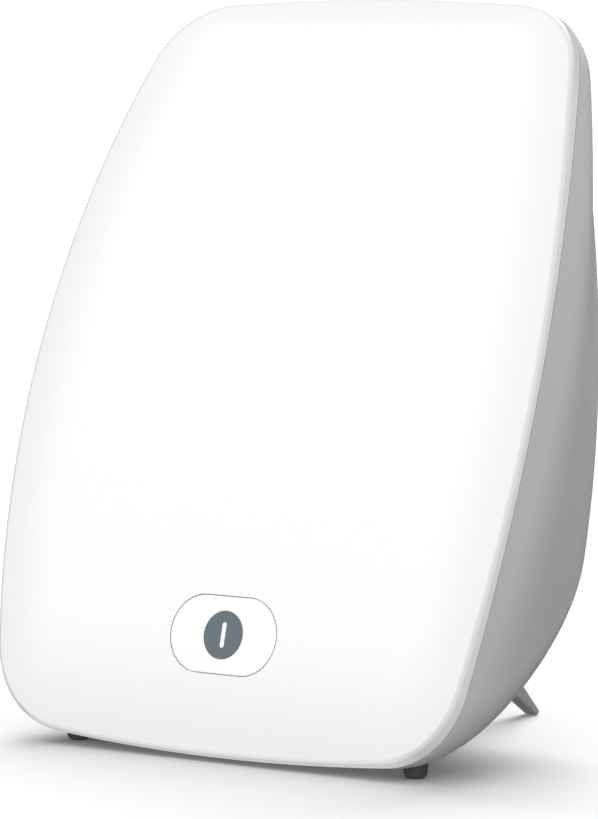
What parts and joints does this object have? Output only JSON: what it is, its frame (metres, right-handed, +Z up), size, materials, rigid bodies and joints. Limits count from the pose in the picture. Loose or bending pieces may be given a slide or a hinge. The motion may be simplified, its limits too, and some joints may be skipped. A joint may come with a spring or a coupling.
{
  "type": "light therapy lamp",
  "caption": "Free-standing light therapy lamp: leaning opal face over fluorescent tubes, grey back, capsule push key, fold-out prop stand",
  "frame": {"origin": "on the table, under the middle of the lamp's overall width and depth with its stand open", "axes": "X across the face, +Y to the back, +Z up; the face looks to -Y and leans back"},
  "size_m": [0.334, 0.2547, 0.4015],
  "materials": {
    "opal_acrylic": "satin opal",
    "grey_abs": "fine moulded texture",
    "white_abs": "satin",
    "disc_grey": "satin",
    "black_nylon": "matt",
    "white_steel": "white powder coat",
    "lamp_glass": "white phosphor inside",
    "lamp_cap": "matt",
    "spring_steel": "bright",
    "ballast_case": "mill",
    "brass_pins": "bright",
    "stand_grey": "fine moulded texture",
    "foot_rubber": "matt",
    "screw_steel": "zinc plated"
  },
  "bodies": {
    "housing": {"front_cover": "opal_acrylic", "rear_housing": "grey_abs", "button_guide": "white_abs", "switch_body": "black_nylon", "reflector": "white_steel", "lamp_left": "lamp_glass", "lamp_right": "lamp_glass", "lamp_base_left": "lamp_cap", "lamp_base_right": "lamp_cap", "lampholder_left": "lamp_cap", "lampholder_right": "lamp_cap", "lamp_clip_left": "spring_steel", "lamp_clip_right": "spring_steel", "ballast": "ballast_case", "terminal_block": "black_nylon", "mains_inlet": "black_nylon", "inlet_pins": "brass_pins", "stand_pin": "spring_steel", "stand_spring": "spring_steel", "front_foot_left": "foot_rubber", "front_foot_right": "foot_rubber", "housing_screws": "screw_steel", "reflector_screws": "screw_steel", "ballast_screws": "screw_steel"},
    "key": {"power_button": "white_abs", "button_disc": "disc_grey", "switch_plunger": "white_abs"},
    "stand": {"stand": "stand_grey"}
  },
  "joints": [
    {"name": "key_press", "type": "slide", "parent": "housing", "child": "key", "axis": [0, 0.9351, -0.3543], "range_m": [0, 0.0025], "stiffness_N_per_m": 1200, "springref_m": -0.0015},
    {"name": "stand_fold", "type": "hinge", "parent": "housing", "child": "stand", "pos_m": [0, 0.02737, 0.07763], "axis": [1, 0, 0], "range_deg": [0, 129.5]}
  ]
}
